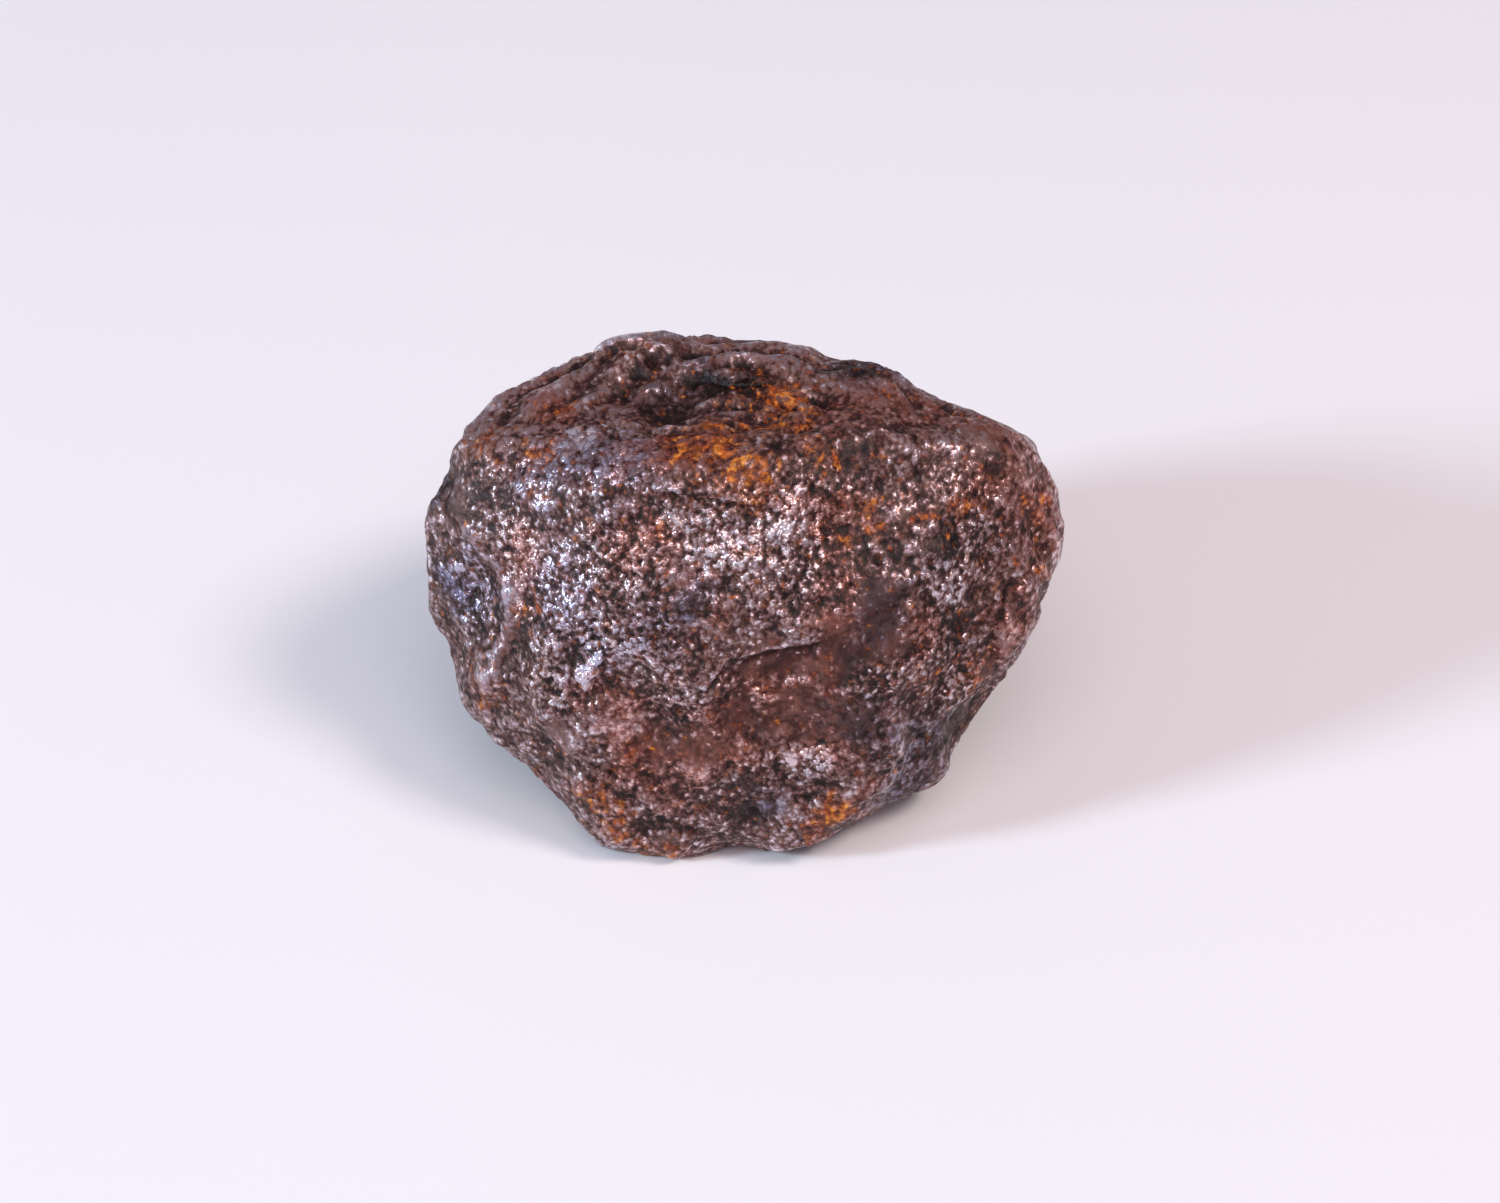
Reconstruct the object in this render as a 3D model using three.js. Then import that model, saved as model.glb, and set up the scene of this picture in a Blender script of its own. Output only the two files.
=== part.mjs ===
// An iron meteorite: one solid stone, a little larger than a walnut, lying on its worn underside.
// Millimetres, +Z up, the broad front face towards -Y. The origin is on the ground under the stone's middle.
import * as THREE from "three";
import { ImprovedNoise } from "three/addons/math/ImprovedNoise.js";
import { mergeVertices } from "three/addons/utils/BufferGeometryUtils.js";

// A place on the stone is [bearing, tilt] in degrees, seen from its heart. Bearing 0 is the front, 90 the
// right and 180 the back; tilt is the height above the horizon. Every size is in millimetres.

const HEART_HEIGHT = 13; // of the heart above the ground
const EDGE_CRISPNESS = 26; // how sharply two worn flats meet
const SPHERE_DETAIL = 20; // cuts along each side of the starting icosahedron

// The flats that melting in flight left: [place, distance of the flat from the heart].
const FLATS = [
  [[-90, 0], 23.9], // left end
  [[-103, 15], 21.9],
  [[-120, 31], 22.6],
  [[-139, 42], 20.6], // back left shoulder
  [[-157, 47], 20.4],
  [[178, 50], 17.9], // back rim of the top
  [[142, 44], 18.3],
  [[124, 34], 21.4],
  [[106, 18], 22.7], // right end
  [[95, 6], 25],
  [[76, -16], 18.5], // right flank
  [[60, -30], 20.2],
  [[36, -44], 17.3], // under the right flank
  [[18, -49], 18.6],
  [[-10, -50], 17.8],
  [[-30, -46], 22.7], // foot
  [[-53, -35], 19.4], // under the left flank
  [[-64, -28], 20.5],
  [[-80, -11], 21],
  [[-170, 82], 14], // top
  [[10, 46], 12.5], // brow of the front
  [[0, 24], 12.3],
  [[-3, 10], 11.7], // lower front
  [[-8, -25], 17.2],
  [[-38, 30], 15.2], // left of the front
  [[-36, 13], 15.2],
  [[-68, 14], 19.8], // left flank
  [[43, 28], 16], // right of the front
  [[38, -4], 15.6],
  [[175, 3], 18.5], // back
  [[-135, -5], 19],
  [[130, -8], 19.5],
  [[-150, -45], 16.5], // under the back
  [[150, -40], 17],
  [[95, -48], 17.5],
  [[-100, -45], 17.5],
  [[175, -74], 14.4],
  [[-110, -66], 15],
  [[110, -68], 15.4],
];

// Shallow thumbprints that the air stream scooped out: [place, radius of the mouth, depth].
const HOLLOWS = [
  [[-73, 13], 4.6, 1.5], // on the left flank, with a raised rim towards the front
  [[-98, 36], 5, 0.6],
  [[-30, 40], 6, 0.5],
  [[-36, 6], 5.5, 0.5],
  [[17, 9], 6.5, 0.9], // smooth basin under the front ledge
  [[36, -4], 5, 0.6],
  [[62, 14], 5.5, 0.6],
  [[70, -19], 4, 1.3], // notch under the right flank
  [[-53, -24], 4.5, 1.2], // notch above the foot
  [[60, 50], 6, 0.6],
  [[-128, 60], 4, 0.9],
  [[150, 66], 6, 0.8],
  [[151, 45], 2.5, 1.1],
  [[-95, 24], 2.6, 0.4], // dents in the left end
  [[-80, -4], 3, 0.7],
  [[-3, -39], 3.5, 0.8], // under the front
  [[100, 46], 5, 0.6],
  [[-150, 22], 7, 1.2],
  [[-175, 8], 7, 1.3],
  [[160, 20], 6.5, 1],
  [[135, -5], 7, 1.4],
  [[-125, -12], 7, 1.2],
  [[-165, -28], 6, 1],
  [[100, -8], 6, 1],
  [[-100, -25], 5.5, 1],
];

// Low lumps: [place, radius, height].
const LUMPS = [
  [[-36, -39], 4, 0.8], // corner of the foot
  [[-22, -41], 2.5, 0.6],
  [[-74, -16], 3.2, 0.6], // below the left end
  [[-107, 30], 3, 0.6],
  [[93, 10], 3.2, 0.6], // right end
  [[58, -29], 4, 0.6], // corner under the right flank
  [[12, -39], 2.5, 0.5],
];

// Edges where the crust stands proud on the left of the path and eases back: [path, rise, run].
const LEDGES = [
  [[[-24, 1], [-8, 4], [4, 12], [20, 23], [46, 29]], 0.9, 5], // over the smooth basin
  [[[-112, 39], [-121, 43], [-130, 50], [-138, 56]], 0.5, 3], // terrace on the top
  [[[-142, 50], [-153, 51], [-167, 60], [-175, 62], [165, 58], [153, 50]], 0.8, 4], // plate behind it
  [[[-45, -14], [-20, -20], [5, -30]], 0.5, 4], // over the foot
  [[[-60, 42], [-35, 60], [30, 72], [62, 58], [85, 47]], 0.6, 5], // brow
];

// Raised ribs: [path, height, half width].
const RIBS = [
  [[[-92, 34], [-87, 27], [-78, 23], [-72, 16], [-70, 8], [-68, -5]], 0.8, 1.4], // rim of the left thumbprint
  [[[-99, 30], [-94, 20], [-91, 8], [-89, -2]], 0.7, 1.7],
  [[[104, 30], [97, 16], [93, 6], [82, 2]], 0.6, 1.6], // down the right flank
  [[[-141, 41], [-156, 46]], 1.2, 1.5], // flake on the shoulder
  [[[130, 43], [139, 44]], 0.7, 1.5], // knob on the back rim
  [[[-170, -5], [-150, 10], [-130, 5]], 0.8, 2],
  [[[165, -20], [150, 5], [125, 15]], 0.8, 2],
];

// Unevenness all over: [wavelength, height].
const UNEVENNESS = [
  [10, 0.6],
  [5.2, 0.5],
  [2.9, 0.35],
];

function direction([bearing, tilt]) {
  const b = THREE.MathUtils.degToRad(bearing);
  const t = THREE.MathUtils.degToRad(tilt);
  return new THREE.Vector3(Math.sin(b) * Math.cos(t), -Math.cos(b) * Math.cos(t), Math.sin(t));
}

const flats = FLATS.map(([place, reach]) => ({ normal: direction(place), reach }));

// How far the flats let the stone reach in a direction: their soft intersection.
function reachOfFlats(dir) {
  let sum = 0;
  for (const { normal, reach } of flats) {
    sum += (Math.max(dir.dot(normal), 0) / reach) ** EDGE_CRISPNESS;
  }
  return sum ** (-1 / EDGE_CRISPNESS);
}

const spotsOf = (table) =>
  table.map(([place, radius, most]) => {
    const dir = direction(place);
    return { centre: dir.multiplyScalar(reachOfFlats(dir)), radius, most };
  });
const hollows = spotsOf(HOLLOWS);
const lumps = spotsOf(LUMPS);

// Where spots overlap, the larger one counts, which leaves a rib between two hollows.
function largestOf(spots, point) {
  let largest = 0;
  for (const { centre, radius, most } of spots) {
    const share = point.distanceTo(centre) / radius;
    largest = Math.max(largest, most * (1 - share * share));
  }
  return largest;
}

// The nearest place on a path: how far off it a point is, and on which side (positive is the left).
function offPath(path, point) {
  const nearest = { off: Infinity, side: 1, beyond: 0 };
  for (let i = 0; i + 1 < path.length; i++) {
    const along = path[i + 1].clone().sub(path[i]);
    const share = point.clone().sub(path[i]).dot(along) / along.lengthSq();
    const held = THREE.MathUtils.clamp(share, 0, 1);
    const gap = point.clone().sub(path[i].clone().addScaledVector(along, held));
    if (gap.length() >= nearest.off) continue;
    const atAnEnd = (i === 0 && share < 0) || (i === path.length - 2 && share > 1);
    nearest.off = gap.length();
    nearest.side = Math.sign(point.clone().cross(along).dot(gap)) || 1;
    nearest.beyond = atAnEnd ? Math.abs(share - held) * along.length() : 0;
  }
  return nearest;
}

const pathOf = (places) => places.map((place) => direction(place)).map((d) => d.multiplyScalar(reachOfFlats(d)));
const ledges = LEDGES.map(([places, rise, run]) => ({ path: pathOf(places), rise, run }));
const ribs = RIBS.map(([places, height, halfWidth]) => ({ path: pathOf(places), height, halfWidth }));

const LEDGE_EDGE = 0.8; // half the width that the step takes
const END_FADE = 3; // beyond its ends a ledge or rib fades out over this

function riseOfLedges(point) {
  let total = 0;
  for (const { path, rise, run } of ledges) {
    const { off, side, beyond } = offPath(path, point);
    const step = THREE.MathUtils.smoothstep(side * off, -LEDGE_EDGE, LEDGE_EDGE);
    const fade = Math.exp(-Math.max(side * off, 0) / run) * Math.exp(-beyond / END_FADE);
    if (off < 5 * run) total += rise * step * fade;
  }
  return total;
}

function heightOfRibs(point) {
  let total = 0;
  for (const { path, height, halfWidth } of ribs) {
    const { off } = offPath(path, point);
    total += height * Math.exp(-((off / halfWidth) ** 2));
  }
  return total;
}

const noise = new ImprovedNoise();

function unevenness(point) {
  let height = 0;
  for (const [wavelength, amount] of UNEVENNESS) {
    const p = point.clone().divideScalar(wavelength);
    height += amount * noise.noise(p.x + 40, p.y + 17, p.z + 71);
  }
  return height;
}

function surface(dir) {
  const base = dir.clone().multiplyScalar(reachOfFlats(dir));
  const spots = largestOf(lumps, base) - largestOf(hollows, base);
  const relief = riseOfLedges(base) + heightOfRibs(base) + unevenness(base) + spots;
  const reach = base.length() + relief;
  const ground = dir.z < 0 ? HEART_HEIGHT / -dir.z : Infinity;
  return dir.clone().multiplyScalar(Math.min(reach, ground));
}

function stoneGeometry() {
  const sphere = new THREE.IcosahedronGeometry(1, SPHERE_DETAIL - 1);
  sphere.deleteAttribute("normal");
  sphere.deleteAttribute("uv");
  const geometry = mergeVertices(sphere, 1e-3);
  const places = geometry.getAttribute("position");
  for (let i = 0; i < places.count; i++) {
    const point = surface(new THREE.Vector3().fromBufferAttribute(places, i).normalize());
    places.setXYZ(i, point.x, point.y, point.z);
  }
  geometry.computeVertexNormals();
  return geometry;
}

const crust = new THREE.MeshStandardMaterial({ color: 0x3b2a26, roughness: 0.4, metalness: 0.5 });
const stone = new THREE.Mesh(stoneGeometry(), crust);
stone.name = "meteorite";
const middle = new THREE.Box3().setFromObject(stone).getCenter(new THREE.Vector3());
stone.position.set(-middle.x, -middle.y, HEART_HEIGHT);

const meteorite = new THREE.Group();
meteorite.add(stone);

export default meteorite;
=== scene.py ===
import bpy
import numpy as np
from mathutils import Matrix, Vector, noise


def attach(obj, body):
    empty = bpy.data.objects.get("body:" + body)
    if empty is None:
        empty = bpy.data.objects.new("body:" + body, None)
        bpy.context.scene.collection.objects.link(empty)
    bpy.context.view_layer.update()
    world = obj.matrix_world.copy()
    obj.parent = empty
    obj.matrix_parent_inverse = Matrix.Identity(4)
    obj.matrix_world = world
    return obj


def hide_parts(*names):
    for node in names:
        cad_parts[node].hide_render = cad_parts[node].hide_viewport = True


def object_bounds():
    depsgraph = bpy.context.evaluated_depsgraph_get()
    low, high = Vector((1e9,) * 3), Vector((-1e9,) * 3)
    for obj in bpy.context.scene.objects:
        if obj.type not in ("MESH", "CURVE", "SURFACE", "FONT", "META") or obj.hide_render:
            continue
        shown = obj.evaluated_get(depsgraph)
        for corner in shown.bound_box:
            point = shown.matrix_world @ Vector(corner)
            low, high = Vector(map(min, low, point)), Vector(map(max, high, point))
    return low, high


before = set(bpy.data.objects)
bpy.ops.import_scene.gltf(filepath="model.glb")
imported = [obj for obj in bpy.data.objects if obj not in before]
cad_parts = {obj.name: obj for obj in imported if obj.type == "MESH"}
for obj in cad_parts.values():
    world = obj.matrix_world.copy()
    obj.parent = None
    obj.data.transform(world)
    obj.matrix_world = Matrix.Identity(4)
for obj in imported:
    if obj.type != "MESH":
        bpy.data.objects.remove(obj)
cad_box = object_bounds()

# ---------------------------------------------------------------------------------------------
# The stone: one solid lump of meteoritic iron with a thin skin of iron oxides. Air melted its
# surface in flight and scooped it out in shallow thumbprints, and weather then roughened the skin
# into fine grains, scaled it off in smooth patches, and stained it with rust.
# ---------------------------------------------------------------------------------------------
MM = 0.001
SAME_CORNER = 0.001  # mm, within which the solid's loose triangles share a corner

bpy.ops.object.select_all(action="DESELECT")
stone = bpy.data.objects.new("iron_meteorite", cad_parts["meteorite"].data.copy())
bpy.context.collection.objects.link(stone)
stone.select_set(True)
bpy.context.view_layer.objects.active = stone
bpy.ops.object.mode_set(mode="EDIT")
bpy.ops.mesh.select_all(action="SELECT")
bpy.ops.mesh.remove_doubles(threshold=SAME_CORNER * MM)
bpy.ops.mesh.normals_make_consistent(inside=False)
bpy.ops.object.mode_set(mode="OBJECT")
bpy.ops.mesh.customdata_custom_splitnormals_clear()
finer = stone.modifiers.new("finer", "SUBSURF")
finer.levels = finer.render_levels = 2
bpy.ops.object.modifier_apply(modifier=finer.name)
bpy.ops.object.shade_smooth()

skin = stone.data
count = len(skin.vertices)


def outward_now():
    """The direction out of the stone at each point of its skin."""
    normals = np.empty(count * 3)
    skin.vertex_normals.foreach_get("vector", normals)
    return normals.reshape(-1, 3)


places = np.empty(count * 3)
skin.vertices.foreach_get("co", places)
places = places.reshape(-1, 3) / MM
outward = outward_now()


def smooth_step(value, start, end):
    """0 before the start and 1 past the end, with a soft ramp between them."""
    share = np.clip((value - start) / (end - start), 0, 1)
    return share * share * (3 - 2 * share)


def ripple(points, wavelength, shift):
    """Smooth noise from about -1 to 1 at each point, with a pattern of its own for each shift."""
    return np.array([noise.noise(p) for p in points / wavelength + shift])


def spots(points, spacing, radius, shift):
    """Round spots at random, about a spacing apart: 1 in the middle, 0 from the radius on."""
    near = np.array([noise.voronoi(p)[0][0] for p in points / spacing + shift]) * spacing
    return np.clip(1 - (near / radius) ** 2, 0, 1)


def wander_by(wavelength, shifts):
    """A smooth random step at each point, from about -1 to 1 along each axis."""
    return np.stack([ripple(places, wavelength, shift) for shift in shifts], axis=1)


# What is measured from these places, and not from the true ones, has an uneven or a ragged edge.
BEND_WIDTH = 2.4  # mm, of the bends in such an edge
FRAY_WIDTH = 0.9  # mm, of the finer bends in a ragged one
UNEVEN_BY = 0.35  # mm
RAGGED_BY = 1.5  # mm
FRAYED_BY = 0.5  # mm

wander = wander_by(BEND_WIDTH, (11.3, 47.1, 83.9))
uneven_places = places + UNEVEN_BY * wander
ragged_places = places + RAGGED_BY * wander + FRAYED_BY * wander_by(FRAY_WIDTH, (5.3, 31.7, 61.1))


def cover(patches, edge):
    """1 inside the patches and 0 outside, with a ramp of edge times the radius on each side of the edge."""
    share = np.zeros(count)
    for x, y, z, radius in patches:
        off = np.linalg.norm(ragged_places - (x, y, z), axis=1) / radius
        share = np.maximum(share, smooth_step(off, 1 + edge, 1 - edge))
    return share


def at_random(wavelength, shift, start, end):
    """Ragged patches wherever the noise rises from the start to the end."""
    return smooth_step(ripple(ragged_places, wavelength, shift), start, end)


def off_path(path):
    """How far each point is from a path, mm."""
    nearest = np.full(count, np.inf)
    for start, end in zip(np.array(path[:-1]), np.array(path[1:])):
        along = end - start
        share = np.clip((places - start) @ along / (along @ along), 0, 1)
        nearest = np.minimum(nearest, np.linalg.norm(places - start - share[:, None] * along, axis=1))
    return nearest


# Where the skin on the front and the top differs, in patches as (x, y, z, radius), mm.
SMOOTH = [  # a layer of the skin scaled off
    (2, -13, 16, 2.4), (4, -14, 15, 2.4), (6, -13, 17.5, 2), (5, -14.5, 12.5, 2.6), (1, -14.5, 13, 2.2),
    (-3, -15.5, 11, 1.8), (-6, -15, 10.5, 1.4), (-13, -13.5, 10, 1.6), (9, -12.1, 20, 1.8),
    (9.3, -13, 17.6, 1.3), (17, -9, 12.5, 1.2), (16, -1.5, 26.5, 1.4), (11, 2, 26.5, 1.4),
]
RUSTY = [
    (2.3, 3.1, 25.9, 2.5), (3.8, 1.2, 26.3, 1.8), (2, -1.6, 27, 1.9), (-1.5, -5, 27.8, 2.3),
    (0.5, -7, 27.5, 1.8), (-4, -4, 27.8, 1.5), (6, -16.2, 5.2, 1.7), (-10, -15.5, 5.5, 1.6),
    (-8.5, -15.7, 3, 1.6), (-6, -15.5, 1.2, 1.6), (9, -7.5, 23.7, 0.9), (7.5, -8.3, 23, 0.9),
    (14, 2.5, 25, 1.2), (15, -6, 23.4, 1.2), (19, -3.5, 22, 0.8), (21, -2, 20.5, 1.0),
    (19.9, -5.5, 17.4, 1.0), (-18, -10, 10, 1.4), (-19, -8, 12, 1.1), (-18, -1, 25.3, 1.3),
    (-14, -3.5, 26.3, 1.3), (-12, 1.5, 26.2, 1.1), (-10, -9, 24.4, 0.7), (12.4, -7, 23.8, 0.9),
    (12.4, -12.4, 13.7, 1.0), (16, -9.7, 12.8, 1.2), (-14.2, -9.4, 18.2, 1.1), (0.2, -9, 26.4, 1),
    (3, -1.9, 27, 1.5), (4.6, -0.4, 26.9, 1.5), (0.8, -1.2, 26.6, 1.4), (-2.2, -1.6, 26.8, 1.6),
    (4.6, -4.7, 27.5, 1.1), (-17.8, -1.2, 25.3, 1.1), (-7.3, -14.9, 9.8, 0.9),
]
THICK_RUST = [  # orange
    (6.1, -16.2, 5.2, 1.5), (2.5, 2.9, 26, 1.5), (3.2, -1.4, 27, 1.0), (-2.2, -2.2, 27, 0.9),
    (-1.5, -5.2, 27.8, 0.8), (0.2, -7, 27.5, 0.8), (-14, -3.2, 26.3, 0.6),
]
RUDDY = [  # red-brown
    (6.5, -12.3, 20.2, 2.4), (2.2, -13.5, 14, 3.4), (-5.3, -15.5, 9.2, 3.4), (-2.3, -15.4, 11, 3.2),
    (19.7, -3, 21, 3.2), (11.5, -12, 18, 2), (18, -1.5, 24.5, 2.2), (6, -14.5, 11, 2.6),
    (-14.6, -8, 20.5, 2), (9, 1, 26.5, 3.5),
]
SLATY = [  # blue-grey
    (-19, -5, 15.5, 2.0), (-6, 2.5, 25.4, 2.2), (9, -12, 20, 2.2), (-3.2, -12.4, 20.8, 1.5),
    (1, -16, 6.2, 1.8), (11, -13.4, 5.6, 3), (7.5, 7.5, 25.4, 2.2), (-3, 5, 25.8, 1.8),
    (13.4, -11.5, 7.6, 3), (-21, 0, 21, 1.8), (8, -14.8, 12, 2), (0, 4, 26, 1.6), (13, -8, 22.5, 1.6),
    (11, -13.7, 10.5, 2.4),
]
LAVENDER_AND_COOL_LIGHT = [  # pale purple, partly the cool lamp's light painted on the left side
    (-13.6, -4.6, 25.8, 2.6), (-9, -5.5, 26.6, 3.4), (-18.4, -5.8, 16.7, 3), (-12, -10.5, 19.5, 3.2),
    (-10.4, -13, 16, 2), (-6.5, -13, 19, 2.2),
]
PALE_AND_PAINTED_HIGHLIGHT = [  # paler grains, partly painted highlight where the lamps catch the stone
    (2.6, -9.1, 24.3, 2.2), (-1.3, -10.3, 23.6, 2.0), (-14.6, -7.8, 21, 1.9), (-13.4, -4.6, 25.9, 2),
    (-10.2, -3.2, 26.8, 2.2), (-7.8, -4.4, 27.2, 1.7), (-4.6, -9, 25, 1.5), (-18.8, -5.6, 16.6, 2),
    (4.4, -15.3, 9.1, 1.2), (11, -13.7, 10.5, 1.4), (20.8, -2.5, 16, 1.4), (-8, -13.5, 16.8, 1.3),
    (-3.8, -12.7, 20, 1.1), (-8.7, -14.3, 11.6, 1.6), (2.2, -15.8, 6.8, 1.2), (-12.9, -8.9, 21.8, 1.8),
    (-12, -10.8, 19.3, 1.4), (13.4, -9.7, 20, 1.2), (9.6, -14.2, 4.6, 1.4), (-15.3, -8, 18.9, 1.6),
    (-10.6, -13.2, 14.7, 1.4), (-4, -11.3, 22.3, 1.6), (11.2, -13.3, 8, 1.8), (-3.4, -15.5, 8.6, 1.2),
]
DARK_AND_PAINTED_SHADE = [  # darker grains, partly painted shade, most of them on the top
    (-5.4, 0.9, 25.6, 1.8), (-1, 3.6, 26, 2), (13, -8, 22.5, 1.3), (-8.5, 6.2, 26.4, 2.2),
    (-0.8, -16, 5.6, 1.3), (8.2, -13.7, 16.3, 1.8), (7.4, 7.4, 25.4, 1.8), (15.4, -9, 17, 1.3),
    (9.2, -3, 27.4, 1.9), (5.6, -4.4, 27.4, 2.0), (1.9, -6, 27.5, 1.4), (-2.7, -7.8, 27, 1.1),
    (-18.6, -3.8, 23, 2), (-8.4, -7.1, 26.8, 0.9), (-19, -4.3, 22, 1.2), (16.5, -3, 25.2, 1.3),
]
BRIGHT = [  # grains that weather has stripped to dense oxide
    (2.6, -9.1, 24.3, 3.2), (-1.3, -10.3, 23.6, 2.8), (-13.6, -4.2, 26, 2), (-9, -4.6, 26.9, 2.8),
    (-10.5, -2.5, 26.9, 2.2), (-4.6, -9, 25, 2), (-14.6, -7.8, 21, 2.4), (-18.4, -5.8, 16.7, 2.2),
    (-10.3, -13, 16.3, 1.4), (13.4, -9.7, 20, 2.2), (-4.7, -14.7, 14.5, 2), (-6.9, -13.4, 18.2, 2.5),
    (4.4, -15.3, 9.1, 1.6), (11, -13.8, 8.3, 2), (9.5, -14, 15.3, 1.6), (-12.2, -10.8, 19.5, 2.8),
    (-8.2, -10.5, 22.7, 2.6), (15, -7, 22, 2.5), (13, -11, 16, 2), (14, -11, 12, 2),
    (-9.5, -11.7, 20.3, 2.6), (-9.5, -13, 18, 2.2), (-13, -12.5, 14, 2), (3.5, -11.5, 21.5, 2.2),
]
BEADS = [  # left standing in the smooth basin under the front ledge
    (0.8, -13.7, 13.5, 0.8), (1.8, -13.9, 12.9, 0.7), (2.8, -13.6, 14.2, 0.7), (4.4, -13.9, 14.4, 0.7),
    (0.9, -13.6, 15, 0.7),
]
RIM = [  # a path, mm, along the crest round the left thumbprint
    (-19.2, -2.8, 22.6), (-18.5, -5.3, 20.6), (-17, -6.4, 19.4), (-15.8, -7.8, 18.3), (-15.7, -8.9, 16.2),
    (-16.2, -9.4, 14.4), (-17.7, -10.2, 11),
]
RIM_HALF_WIDTH = 0.65  # mm

# The back and the underside, far enough along a line 40 degrees down to the back, have patches at random.
BACK_AND_DOWN = (0, 0.766, -0.643)
HIDDEN_FROM = -10  # mm
HIDDEN_FULLY_FROM = -4  # mm

hidden = smooth_step(places @ BACK_AND_DOWN, HIDDEN_FROM, HIDDEN_FULLY_FROM)
beads = cover(BEADS, 0.4)
dark_and_painted_shade = cover(DARK_AND_PAINTED_SHADE, 0.7)
rim = np.exp(-((off_path(RIM) / RIM_HALF_WIDTH) ** 2))

smooth = np.maximum(cover(SMOOTH, 0.35), hidden * at_random(6, 3.7, 0.18, 0.3))
smooth *= 1 - beads
smooth = np.maximum(smooth, 0.6 * smooth_step(rim, 0.3, 0.8))
rusty = np.maximum(cover(RUSTY, 0.7), hidden * at_random(4, 57.2, 0.25, 0.6))
rusty += 1.1 * cover(THICK_RUST, 0.6)
slaty = np.maximum(cover(SLATY, 0.6), hidden * at_random(7, 21.4, 0.1, 0.5))
ruddy = np.maximum(cover(RUDDY, 0.5), at_random(5, 9.4, 0.2, 0.5))
ruddy *= 1 - slaty
lavender_and_cool_light = np.maximum(cover(LAVENDER_AND_COOL_LIGHT, 0.6), 0.5 * rim)
bright = np.maximum(cover(BRIGHT, 0.9), hidden * at_random(5, 33.8, 0, 0.4))
bright = np.maximum(bright * (1 - smooth), 0.8 * beads) - 0.5 * dark_and_painted_shade
# The tone lifts in the pale patches as painted highlight, drops in the dark ones, partly as painted shade,
# and lifts on the beads.
tone_and_painted_light = cover(PALE_AND_PAINTED_HIGHLIGHT, 0.7) - 0.65 * dark_and_painted_shade + 0.7 * beads

# Lumps, grains and pits all over.
LUMPS = [(2.6, 0.34), (1.3, 0.24), (0.7, 0.12)]  # wavelength and height, mm
GRAIN_WIDTH = 0.85  # mm, from one grain's middle to the next
GRAIN_RADIUS = 0.55 * GRAIN_WIDTH
GRAIN_RISE = 0.07  # mm
GRAINS_ASTRAY = 0.25  # mm, that the grains and pits stray from an even pattern
PIT_SPACING = 2.6  # mm
PIT_RADIUS = 0.42  # mm
PIT_DEPTH = 0.26  # mm
SCALE_THICKNESS = 0.10  # mm, of the skin that came off where the surface is smooth
LUMPS_LOST = 0.6  # the share that came off with it
GRAINS_LOST = 0.85  # the same, of the grains and pits

lumps = sum(height * ripple(places, wavelength, 19.7) for wavelength, height in LUMPS)
loose_places = places + GRAINS_ASTRAY * wander
grains = GRAIN_RISE * spots(loose_places, GRAIN_WIDTH, GRAIN_RADIUS, 0)
pits = PIT_DEPTH * spots(loose_places, PIT_SPACING, PIT_RADIUS, 7.7)
relief = lumps * (1 - LUMPS_LOST * smooth) + (grains - pits) * (1 - GRAINS_LOST * smooth)
relief -= SCALE_THICKNESS * smooth

# The melt ran back in wrinkles that follow the rim of the top, and down the right flank. There they take the
# place of most of the lumps and grains.
WRINKLE_HEIGHT = 0.42  # mm
WRINKLE_SPACING = 0.95  # mm, about
HEART = (-0.2, -2.8, 13)  # mm, the middle of the stone, which they run round
HEART_TO_SKIN = 20  # mm, about
RIM_PACE = 0.075  # of the pattern along the rim's wrinkles, as a share of its pace across them
FLANK_PACE = 0.2  # the same, down the flank
TOP_LEAN = 0.35  # how steeply the lower edge of the wrinkled part of the top climbs to the front
TOP_FROM = (23, 26)  # mm, the height over which that edge fades in
TOP_BEHIND = (-1, 3)  # mm, the same along Y, for its front edge
FLANK_FROM = (15.5, 18.5)  # mm, the same along X, for the wrinkled part of the flank
TOP_SMOOTHED = 0.65  # the share of the lumps and grains that the wrinkles took
FLANK_SMOOTHED = 0.6  # the same, on the flank
CRATER = (-6, 6.8, 26.4)  # mm, the middle of a burst bubble among them
CRATER_RADIUS = 1.2  # mm
CRATER_DEPTH = 0.3  # mm


def crests(points, shift):
    """Wrinkles with sharp crests, 1 along them and about -1 in the furrows between them."""
    return 1 - 3.5 * np.abs(ripple(points, 2 * WRINKLE_SPACING, shift))


sideways, backwards, above = (places - HEART).T
bearing = np.arctan2(sideways, backwards)
tilt = np.arctan2(above, np.hypot(sideways, backwards))
x, y, z = places.T
on_top = smooth_step(z + TOP_LEAN * y, *TOP_FROM) * smooth_step(y, *TOP_BEHIND)
on_flank = smooth_step(x, *FLANK_FROM) * (1 - on_top)
zero = np.zeros(count)
round_rim = np.stack([RIM_PACE * HEART_TO_SKIN * bearing, HEART_TO_SKIN * tilt, zero], axis=1)
down_flank = np.stack([HEART_TO_SKIN * bearing, FLANK_PACE * above, zero], axis=1)
wrinkles = on_top * crests(round_rim + 0.45 * wander, 71.3)
wrinkles += 0.6 * on_flank * crests(down_flank + 0.3 * wander, 27.9)
from_crater = np.linalg.norm(places - CRATER, axis=1) / CRATER_RADIUS
crater_lip = 0.7 * np.exp(-(((from_crater - 1) / 0.22) ** 2))
crater_bowl = np.clip(1 - from_crater**2, 0, 1)

relief *= 1 - TOP_SMOOTHED * on_top - FLANK_SMOOTHED * on_flank
relief += WRINKLE_HEIGHT * (wrinkles - 0.4 * on_top) * smooth_step(from_crater, 0.8, 1.6)
relief += CRATER_DEPTH * (crater_lip - crater_bowl)
bright -= 0.45 * on_top
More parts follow.
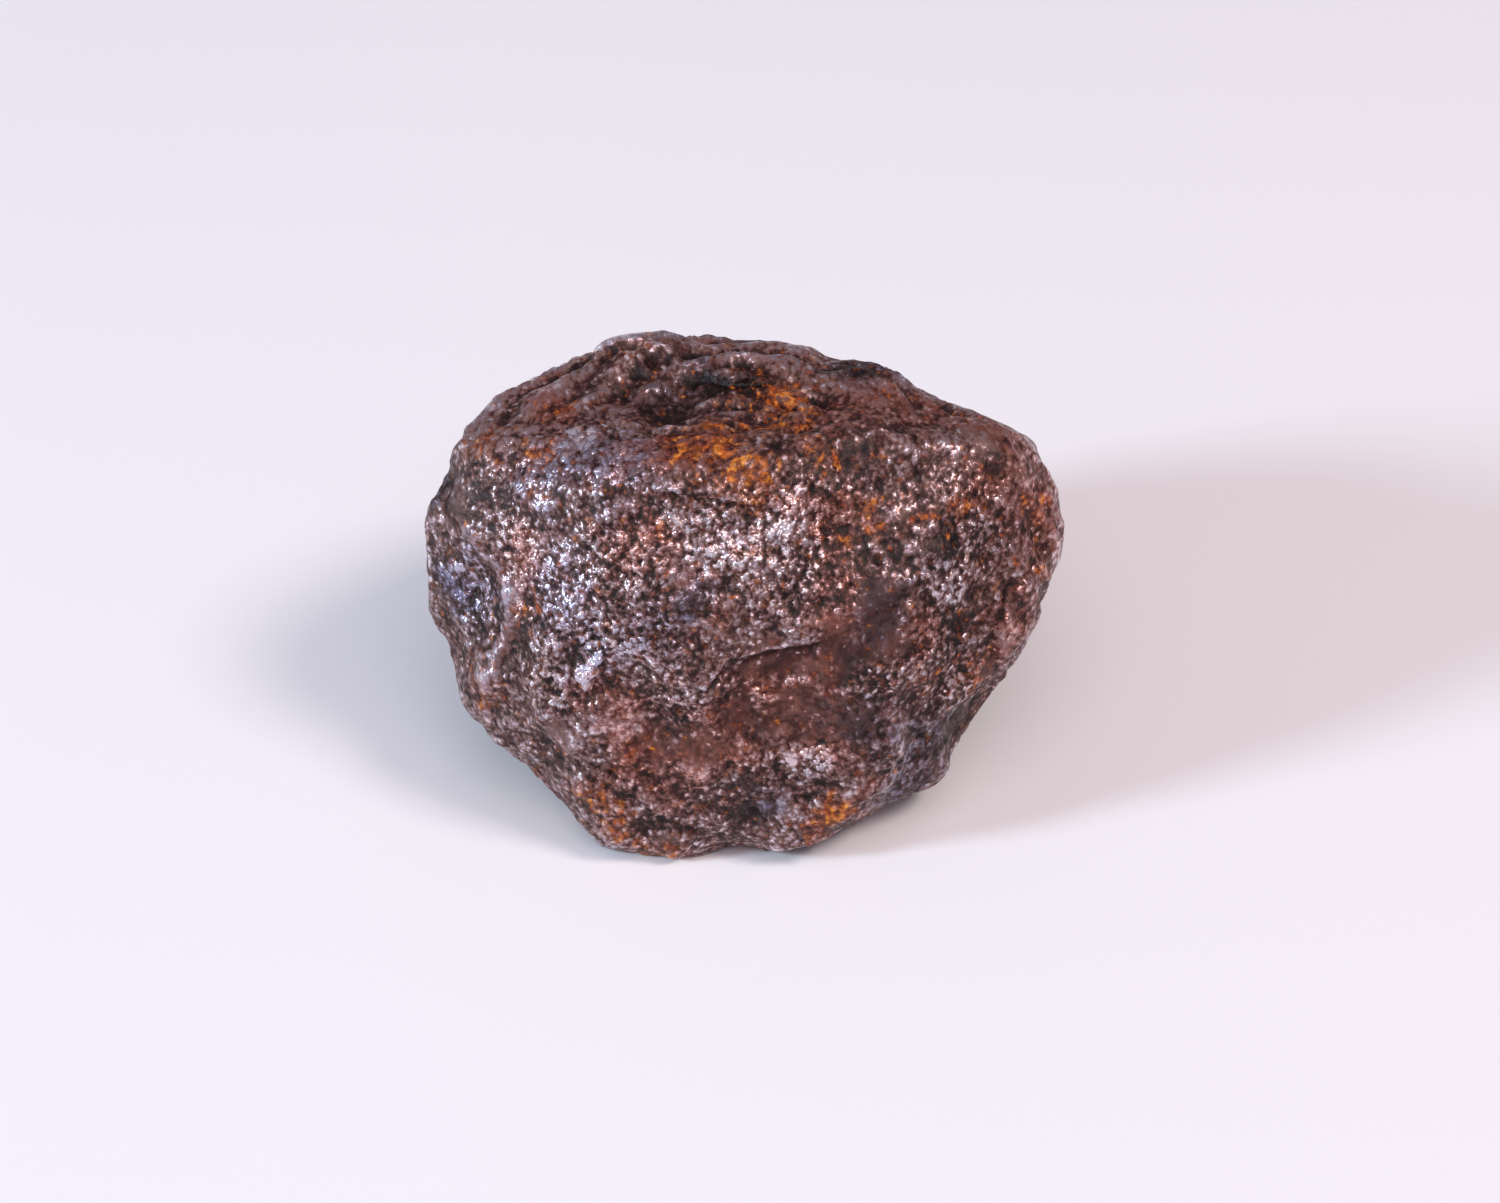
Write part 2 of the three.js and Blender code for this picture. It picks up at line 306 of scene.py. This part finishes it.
# Painted shade darkens the furrows between the wrinkles on the top, and a painted sheen lightens their crests
# a little.
tone_and_painted_light += on_top * np.clip(0.7 * wrinkles, -1, 0.2)

# The crest round the left thumbprint, and the beads.
RIM_RISE = 0.42  # mm
BEAD_RISE = 0.14  # mm

relief += RIM_RISE * rim + BEAD_RISE * cover(BEADS, 0.6)

# Scarps, where a layer of skin broke off on the right of a path: the path and the drop, mm.
SCARPS = [
    ([(-2.2, -14.1, 15.6), (-1.1, -13.7, 17), (1, -13.4, 17.2), (4, -13.1, 17.9)], 0.45),
    ([(-4.6, -8, 26.6), (-3.6, -8.1, 26.5), (-2, -8.1, 26.3), (-0.2, -8.2, 25.9)], 0.35),
    ([(-6.5, -1.5, 26.6), (-5.1, -2.3, 27.1), (-3.7, -2.2, 27)], 0.4),
    ([(20.5, -4, 17.9), (18.1, -7.1, 17.2), (16.8, -9.1, 14.6), (17.3, -8.5, 11.2)], 0.3),
    ([(-9.8, 7.9, 26.5), (-8.3, 8.1, 26.8), (-7.1, 7.9, 26.7)], 0.45),
    ([(-3.1, 5.8, 26.1), (-1, 4.7, 26.4), (0.7, 4.8, 26.2)], 0.4),
    ([(-12.5, -14, 9.4), (-9.8, -15, 7.6), (-7.1, -15.6, 5.8), (-3.1, -16.1, 3.5)], 0.25),
]
SCARP_RUN = 1.6  # mm, over which the ground falls away on the left
SCARP_REACH = 5  # mm, past which it does nothing
FURROW = 0.35  # mm, both how far the furrow at a scarp's foot lies from it, and half the furrow's width


def scarp(path):
    """A crisp step along a path: 1 just on its left, fading further off, and a narrow furrow on its right."""
    height = np.zeros(count)
    nearest = np.full(count, np.inf)
    for start, end in zip(np.array(path[:-1]), np.array(path[1:])):
        along = end - start
        from_start = uneven_places - start
        share = np.clip(from_start @ along / (along @ along), 0, 1)
        gap = from_start - share[:, None] * along
        off = np.linalg.norm(gap, axis=1)
        leftwards = off * np.sign((np.cross(outward, along) * gap).sum(axis=1))
        step = smooth_step(leftwards, -0.3, 0.2) * np.exp(-np.maximum(leftwards, 0) / SCARP_RUN)
        furrow = 0.6 * np.exp(-(((leftwards + FURROW) / FURROW) ** 2))
        closer = off < nearest
        height[closer] = (step - furrow)[closer]
        nearest = np.minimum(nearest, off)
    return height * smooth_step(nearest, SCARP_REACH, SCARP_REACH - 2)


for path, drop in SCARPS:
    relief += drop * scarp(path)

# Small worn flats that face a lamp: middle, half length, half width, mm, and the direction that they face.
FACETS = [
    ((-10.3, -13.0, 16.3), 2.5, 0.85, (-0.48, -0.61, 0.62)),
    ((2.9, -9.0, 24.4), 1.5, 1.0, (0.33, -0.60, 0.72)),
    ((13.4, -9.7, 20.0), 1.2, 0.8, (0.40, -0.70, 0.60)),
]
PAINTED_GLINT_LENGTH = 2  # mm, half length past which a flat is painted near white as a highlight, apart from its pits
PAINTED_GLINT_TONE = 3.6  # where a pale patch has 1
PAINTED_GLINT_BRIGHTNESS = 1.2  # where a bright patch has 1
DOWN_A_FACET = (-0.06, 0, -0.998)  # they lie steeply, their feet a little to the left
FACET_UNEVEN_BY = 0.5  # mm
FACET_FRAYED_BY = 0.45  # of its half length and half width
FACET_FRAY_WIDTH = 0.6  # mm
FACET_PIT_WIDTH = 0.5  # mm
FACET_REACH = 0.7  # mm, of relief that a flat may add or take away
FACET_WEAR = 0.7  # the share of the older relief that it wore off

for middle, half_length, half_width, facing in FACETS:
    facing = np.array(facing) / np.linalg.norm(facing)
    offset = places + FACET_UNEVEN_BY * wander - middle
    down = offset @ DOWN_A_FACET
    across = np.sqrt(np.maximum((offset**2).sum(axis=1) - down**2, 0))
    off = np.hypot(down / half_length, across / half_width)
    off += FACET_FRAYED_BY * ripple(places, FACET_FRAY_WIDTH, 2.2)
    inside = smooth_step(off, 1.2, 0.9)
    to_plane = -((places - middle) @ facing) / np.maximum(outward @ facing, 0.3)
    relief += (np.clip(to_plane, -FACET_REACH, FACET_REACH) - relief) * FACET_WEAR * inside
    if half_length > PAINTED_GLINT_LENGTH:
        # A flat this long is painted near white, apart from its pits: a painted highlight.
        painted_glint = inside * smooth_step(ripple(places, FACET_PIT_WIDTH, 6.1), -0.25, 0.1)
        tone_and_painted_light += (PAINTED_GLINT_TONE - tone_and_painted_light) * painted_glint
        bright += (PAINTED_GLINT_BRIGHTNESS - bright) * painted_glint
        ruddy *= 1 - painted_glint

# The finished skin, kept inside the solid's box and standing on the same ground.
places += outward * relief[:, None]
lowest, highest = (np.array(corner) / MM for corner in cad_box)
places = np.clip(places, lowest, highest)
skin.vertices.foreach_set("co", (places * MM).ravel())
skin.update()

# How far each point stands above the skin round it. The colour darkens the crevices with it, partly dirt and
# partly painted shade, and pales the crests.
PROUD_WEIGHTS = [(12, 2.2), (120, 0.5)]  # rounds of averaging, which reach about 1 and 3 mm, and their weight

ends = np.empty(len(skin.edges) * 2, int)
skin.edges.foreach_get("vertices", ends)
first, second = ends.reshape(-1, 2).T
here, next_to_it = np.r_[first, second], np.r_[second, first]
neighbours = np.bincount(here, minlength=count)
outward = outward_now()
around = places.copy()
proud = np.zeros(count)
for rounds, weight in PROUD_WEIGHTS:
    for _ in range(rounds):
        sums = [np.bincount(here, around[next_to_it, axis], count) for axis in range(3)]
        around = np.stack(sums, axis=1) / neighbours[:, None]
    proud += weight * ((places - around) * outward).sum(axis=1)

zones = {
    "smooth": smooth, "rusty": rusty, "ruddy": ruddy, "slaty": slaty,
    "bright": bright, "lavender_and_cool_light": lavender_and_cool_light, "tone_and_painted_light": tone_and_painted_light, "proud": proud,
}
for name, values in zones.items():
    skin.attributes.new(name, "FLOAT", "POINT").data.foreach_set("value", values.astype(np.float32))

# The crust is iron oxide, mostly magnetite and goethite. It is matt and red-brown in the hollows between its
# grains, and worn to dense oxide on their crests, which have a soft metallic gloss: each one that faces a
# light flashes. Its colour also holds painted shade, near black in the pits and crevices, and painted
# highlights on the palest crests and patches.
crust = bpy.data.materials.new("weathered_iron_oxide_crust")
crust.use_nodes = True
tree = crust.node_tree
tree.nodes.clear()


def add(kind, inputs, **settings):
    """Add a node to the material in hand, with its settings, and its inputs set or linked."""
    node = tree.nodes.new(kind)
    for name, value in settings.items():
        setattr(node, name, value)
    for key, value in inputs.items():
        if isinstance(value, bpy.types.NodeSocket):
            tree.links.new(value, node.inputs[key])
        else:
            node.inputs[key].default_value = value
    return node


def srgb(code):
    """A hex colour as linear red, green, blue and alpha."""
    parts = [int(code[i:i + 2], 16) / 255 for i in (1, 3, 5)]
    return [c / 12.92 if c <= 0.04045 else ((c + 0.055) / 1.055) ** 2.4 for c in parts] + [1]


# The patterns that draw the crust.
KNOB_WIDTH = 0.37  # mm, of the knobs on a grain
FINE_GRAIN_WIDTH = 0.435  # mm
SPECK_WIDTH = 0.667  # mm, of the specks of rust
LUMP_WIDTH = 0.91  # mm
FLAKE_WIDTH = 1.11  # mm, of the flakes that leave the patches ragged
BLOTCH_WIDTH = 2.86  # mm, of the red-brown and slate blotches
DRAWN_OUT = 1.39  # times as long from front to back as they are wide


def per_mm(width):
    """The scale that makes the parts of a pattern this many mm wide, to two decimals."""
    return round(1 / width, 2)


where = add("ShaderNodeTexCoord", {}).outputs["Object"]
mm = add("ShaderNodeMapping", {
    "Vector": where, "Scale": (1 / MM, per_mm(DRAWN_OUT) / MM, 1 / MM),
}).outputs["Vector"]
zone = {name: add("ShaderNodeAttribute", {}, attribute_name=name).outputs["Fac"] for name in zones}
knobs = add("ShaderNodeTexNoise", {
    "Vector": mm, "Scale": per_mm(KNOB_WIDTH), "Detail": 1.2, "Roughness": 0.5,
})
warped = add("ShaderNodeVectorMath", {
    0: knobs.outputs["Color"], 1: (0.6, 0.6, 0.6), 2: mm,
}, operation="MULTIPLY_ADD").outputs["Vector"]
cells = add("ShaderNodeTexVoronoi", {"Vector": warped, "Scale": per_mm(FINE_GRAIN_WIDTH)})
own_tone = add("ShaderNodeSeparateColor", {"Color": cells.outputs["Color"]}).outputs["Red"]
lumpy, flaky, blotchy, specked = (
    add("ShaderNodeTexNoise", {
        "Vector": mm, "Scale": per_mm(width), "Detail": detail, "Roughness": roughness,
    }).outputs["Fac"]
    for width, detail, roughness in (
        (LUMP_WIDTH, 3, 0.75), (FLAKE_WIDTH, 5, 0.75), (BLOTCH_WIDTH, 6, 0.7), (SPECK_WIDTH, 3, 0.7),
    )
)
ragged, blotches = (  # from about -1 to 1
    add("ShaderNodeMath", {0: pattern, 1: 2.4, 2: -1.2}, operation="MULTIPLY_ADD").outputs[0]
    for pattern in (flaky, blotchy)
)

# Relief too fine for the mesh: rounded, knobbly grains on lumps. It is sharp where the skin is bright, and
# faint where it is smooth.
FINE_RELIEF = 0.28  # mm, from the pits to the crests

fine_relief = 0.49
for part, share in ((cells.outputs["Distance"], -0.42), (knobs.outputs["Fac"], 0.6), (lumpy, 0.65)):
    fine_relief = add("ShaderNodeMath", {
        0: part, 1: share, 2: fine_relief,
    }, operation="MULTIPLY_ADD").outputs[0]
smooth_here = add("ShaderNodeMath", {0: zone["smooth"], 1: ragged}, operation="ADD").outputs[0]
smooth_share = add("ShaderNodeMapRange", {
    "Value": smooth_here, "From Min": 0.1, "From Max": 0.75,
}).outputs["Result"]
bright_here = add("ShaderNodeMath", {0: zone["bright"], 1: ragged}, operation="ADD").outputs[0]
sharpness = add("ShaderNodeMapRange", {
    "Value": bright_here, "From Min": -0.3, "From Max": 0.9, "To Min": 0.45, "To Max": 1,
}).outputs["Result"]
sharp = add("ShaderNodeMath", {0: smooth_share, 1: -0.38, 2: sharpness}, operation="MULTIPLY_ADD").outputs[0]
grain_bump = add("ShaderNodeBump", {
    "Height": fine_relief, "Strength": sharp, "Distance": FINE_RELIEF * MM,
}).outputs["Normal"]

# How high each place stands, from the pits (under 0.4) to the crests (over 0.6). The fine relief counts most,
# less so where it is faint. Each grain's own tone and the mottling come next, and calm down where the skin is
# smooth. The flecks in the middle of some grains lift it. The mesh's crests lift it and its crevices lower
# it, partly as painted shade. The pale patches lift it as painted highlight, and the dark ones lower it,
# partly as painted shade.
blunt = add("ShaderNodeMath", {0: fine_relief, 1: -0.9}, operation="ADD").outputs[0]
level = add("ShaderNodeMath", {0: blunt, 1: sharp, 2: 0.5}, operation="MULTIPLY_ADD").outputs[0]
mottle = -0.045
for part, share in ((own_tone, 0.08), (ragged, 0.08), (blotches, 0.08)):
    mottle = add("ShaderNodeMath", {0: part, 1: share, 2: mottle}, operation="MULTIPLY_ADD").outputs[0]
calm = add("ShaderNodeMapRange", {"Value": smooth_share, "To Min": 1, "To Max": 0.35}).outputs["Result"]
height = add("ShaderNodeMath", {0: mottle, 1: calm, 2: level}, operation="MULTIPLY_ADD").outputs[0]
flecked = add("ShaderNodeMapRange", {"Value": own_tone, "From Min": 0.72, "From Max": 0.85}).outputs["Result"]
inner = add("ShaderNodeMapRange", {
    "Value": cells.outputs["Distance"], "From Min": 0.42, "From Max": 0.18,
}).outputs["Result"]
fleck = add("ShaderNodeMath", {0: flecked, 1: inner}, operation="MULTIPLY").outputs[0]
for part, share in ((fleck, 0.14), (zone["proud"], 0.14), (zone["tone_and_painted_light"], 0.14)):
    height = add("ShaderNodeMath", {0: part, 1: share, 2: height}, operation="MULTIPLY_ADD").outputs[0]

# Colour by height: near black in the pits, as painted shade, then dark brown, dusty brown, and the paler worn
# crests, the palest of them near white and partly painted highlight.
PIT_SHADE_COLOUR = "#160908"
HIGHER_COLOURS = [  # height from which it starts, height from which it covers, colour
    (0.34, 0.45, "#412825"), (0.45, 0.54, "#735651"), (0.54, 0.63, "#aa979e"), (0.63, 0.75, "#e4dde6"),
]

colour = srgb(PIT_SHADE_COLOUR)
for low, high, code in HIGHER_COLOURS:
    step = add("ShaderNodeMapRange", {"Value": height, "From Min": low, "From Max": high}).outputs["Result"]
    colour = add("ShaderNodeMix", {0: step, 6: colour, 7: srgb(code)}, data_type="RGBA").outputs[2]

# Red-brown, slate and lavender in patches a few millimetres wide. The lavender is partly painted light: the
# cool lamp's tint on the left side.
TINTS = [  # zone, how far the blotches spread or break it, colour to multiply by
    ("ruddy", 0.8, "#ffdccf"), ("slaty", -0.8, "#a09fac"), ("lavender_and_cool_light", -0.4, "#e6e9f8"),
]

for name, spread, code in TINTS:
    share = add("ShaderNodeMath", {
        0: blotches, 1: spread, 2: zone[name],
    }, operation="MULTIPLY_ADD").outputs[0]
    held = add("ShaderNodeClamp", {"Value": share}).outputs[0]
    colour = add("ShaderNodeMix", {
        0: held, 6: colour, 7: srgb(code),
    }, data_type="RGBA", blend_type="MULTIPLY").outputs[2]

# Rust in specks, dark where it starts and orange where it is thick, in a stain round them.
STAIN_TINT = "#ffd6c0"
FIRST_RUST = "#6a2d14"
ORANGE_RUST = ("#b8501f", "#f09a30")  # from grain to grain

stain = add("ShaderNodeMath", {0: specked, 1: 3, 2: -1.3}, operation="MULTIPLY_ADD").outputs[0]
stain = add("ShaderNodeMath", {0: stain, 1: zone["rusty"]}, operation="ADD").outputs[0]
stain = add("ShaderNodeClamp", {"Value": stain}).outputs[0]
stained = add("ShaderNodeMix", {
    0: stain, 6: colour, 7: srgb(STAIN_TINT),
}, data_type="RGBA", blend_type="MULTIPLY").outputs[2]
rust_spread = add("ShaderNodeMapRange", {
    "Value": zone["rusty"], "From Max": 2, "To Min": 0.8, "To Max": 1.2,
}).outputs["Result"]
rust_reach = add("ShaderNodeMath", {0: rust_spread, 1: specked}, operation="MULTIPLY").outputs[0]
rust_share = add("ShaderNodeMapRange", {
    "Value": rust_reach, "From Min": 0.48, "From Max": 0.62,
}).outputs["Result"]
thickness = add("ShaderNodeMapRange", {
    "Value": fine_relief, "From Min": 0.78, "From Max": 1, "To Min": 0.15,
}).outputs["Result"]
thickness = add("ShaderNodeMath", {0: thickness, 1: rust_share}, operation="MULTIPLY").outputs[0]
darker, lighter = (srgb(code) for code in ORANGE_RUST)
orange_rust = add("ShaderNodeMix", {0: own_tone, 6: darker, 7: lighter}, data_type="RGBA").outputs[2]
rust = add("ShaderNodeMix", {
    0: thickness, 6: srgb(FIRST_RUST), 7: orange_rust,
}, data_type="RGBA").outputs[2]
rust_cover = add("ShaderNodeMapRange", {
    "Value": rust_share, "From Max": 0.6, "To Max": 0.82,
}).outputs["Result"]
rusted = add("ShaderNodeMix", {0: rust_cover, 6: stained, 7: rust}, data_type="RGBA").outputs[2]

# The crests have a metallic gloss, apart from the rusty ones and those where the skin is dark.
MOST_METALLIC = 0.75
MATT_ROUGHNESS = 0.5
WORN_ROUGHNESS = 0.28

crest = add("ShaderNodeMapRange", {
    "Value": height, "From Min": 0.52, "From Max": 0.62, "To Max": MOST_METALLIC,
}).outputs["Result"]
unrusted = add("ShaderNodeMath", {0: rust_cover, 1: -1, 2: 1}, operation="MULTIPLY_ADD").outputs[0]
polish = add("ShaderNodeMapRange", {
    "Value": zone["tone_and_painted_light"], "From Min": -0.6, "From Max": 0, "To Min": 0.4,
}).outputs["Result"]
gloss = crest
for share in (unrusted, polish):
    gloss = add("ShaderNodeMath", {0: gloss, 1: share}, operation="MULTIPLY").outputs[0]
roughness = add("ShaderNodeMapRange", {
    "Value": gloss, "From Max": MOST_METALLIC, "To Min": MATT_ROUGHNESS, "To Max": WORN_ROUGHNESS,
}).outputs["Result"]
shader = add("ShaderNodeBsdfPrincipled", {
    "Base Color": rusted, "Roughness": roughness, "Metallic": gloss, "IOR": 1.5, "Specular IOR Level": 0.25,
    "Normal": grain_bump,
})
add("ShaderNodeOutputMaterial", {"Surface": shader.outputs["BSDF"]})
skin.materials.clear()
skin.materials.append(crust)

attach(stone, "root")
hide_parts("meteorite")

# ---------------------------------------------------------------------------------------------
# The table: a sheet of uncoated white paper, cut large enough to reach well past the view. It
# lies flat, and the stone rests on it with nothing to hold it.
# ---------------------------------------------------------------------------------------------
TABLE_WIDTH = 1.6  # metres

bpy.ops.object.select_all(action="DESELECT")
bpy.ops.mesh.primitive_plane_add(size=TABLE_WIDTH, location=(0, 0, 0))
table = bpy.context.object
table.name = "paper_table"

# Uncoated paper scatters light evenly and has no sheen.
PAPER_COLOUR = "#ecebee"

paper = bpy.data.materials.new("matte_white_paper")
paper.use_nodes = True
tree = paper.node_tree
tree.nodes.clear()
shader = add("ShaderNodeBsdfPrincipled", {"Base Color": srgb(PAPER_COLOUR), "Roughness": 0.9})
add("ShaderNodeOutputMaterial", {"Surface": shader.outputs["BSDF"]})
table.data.materials.append(paper)

# ---------------------------------------------------------------------------------------------
# The light: a small cool lamp low on the left, a larger warm one high on the right, a wide panel
# above the front, and a soft white room all round.
# ---------------------------------------------------------------------------------------------
LAMPS = [  # name, direction, distance and width in metres, power in watts, colour
    ("cool_lamp", (-0.86, -0.30, 0.42), 0.8, 0.14, 4.7, (0.68, 0.89, 1.03)),
    ("warm_lamp", (0.55, -0.22, 0.80), 0.8, 0.24, 2.78, (1.0, 0.90, 0.84)),
    ("ceiling_panel", (0.05, -0.45, 0.9), 1.0, 0.9, 3.9, (1.0, 0.84, 0.90)),
]
ROOM_COLOUR = (0.22, 0.19, 0.222, 1)

for name, towards, distance, width, power, tint in LAMPS:
    lamp = bpy.data.lights.new(name, "AREA")
    lamp.shape = "DISK"
    lamp.size = width
    lamp.energy = power
    lamp.color = tint
    holder = bpy.data.objects.new(name, lamp)
    bpy.context.collection.objects.link(holder)
    holder.location = Vector(towards).normalized() * distance
    holder.rotation_euler = Vector(towards).to_track_quat("Z", "Y").to_euler()

room = bpy.data.worlds.new("soft_white_room")
room.use_nodes = True
room.node_tree.nodes["Background"].inputs["Color"].default_value = ROOM_COLOUR
room.node_tree.nodes["Background"].inputs["Strength"].default_value = 1
bpy.context.scene.world = room
bpy.context.scene.view_settings.view_transform = "Standard"

# ---------------------------------------------------------------------------------------------
# The camera: a short telephoto lens a quarter of a metre away, looking 40 degrees down at the
# front of the stone, so that its top and its front both show.
# ---------------------------------------------------------------------------------------------
CAMERA_AT = (0.35 * MM, -191.37 * MM, 170.9 * MM)
LOOKING_AT = (0.35 * MM, -2.94 * MM, 12.815 * MM)
FOCAL_LENGTH = 85  # mm
SENSOR_WIDTH = 36  # mm
NEAREST_SEEN = 0.01  # metres
FARTHEST_SEEN = 10  # metres

lens = bpy.data.cameras.new("camera")
lens.lens = FOCAL_LENGTH
lens.sensor_width = SENSOR_WIDTH
lens.clip_start = NEAREST_SEEN
lens.clip_end = FARTHEST_SEEN
camera = bpy.data.objects.new("camera", lens)
bpy.context.collection.objects.link(camera)
camera.location = CAMERA_AT
camera.rotation_euler = (Vector(CAMERA_AT) - Vector(LOOKING_AT)).to_track_quat("Z", "Y").to_euler()
bpy.context.scene.camera = camera
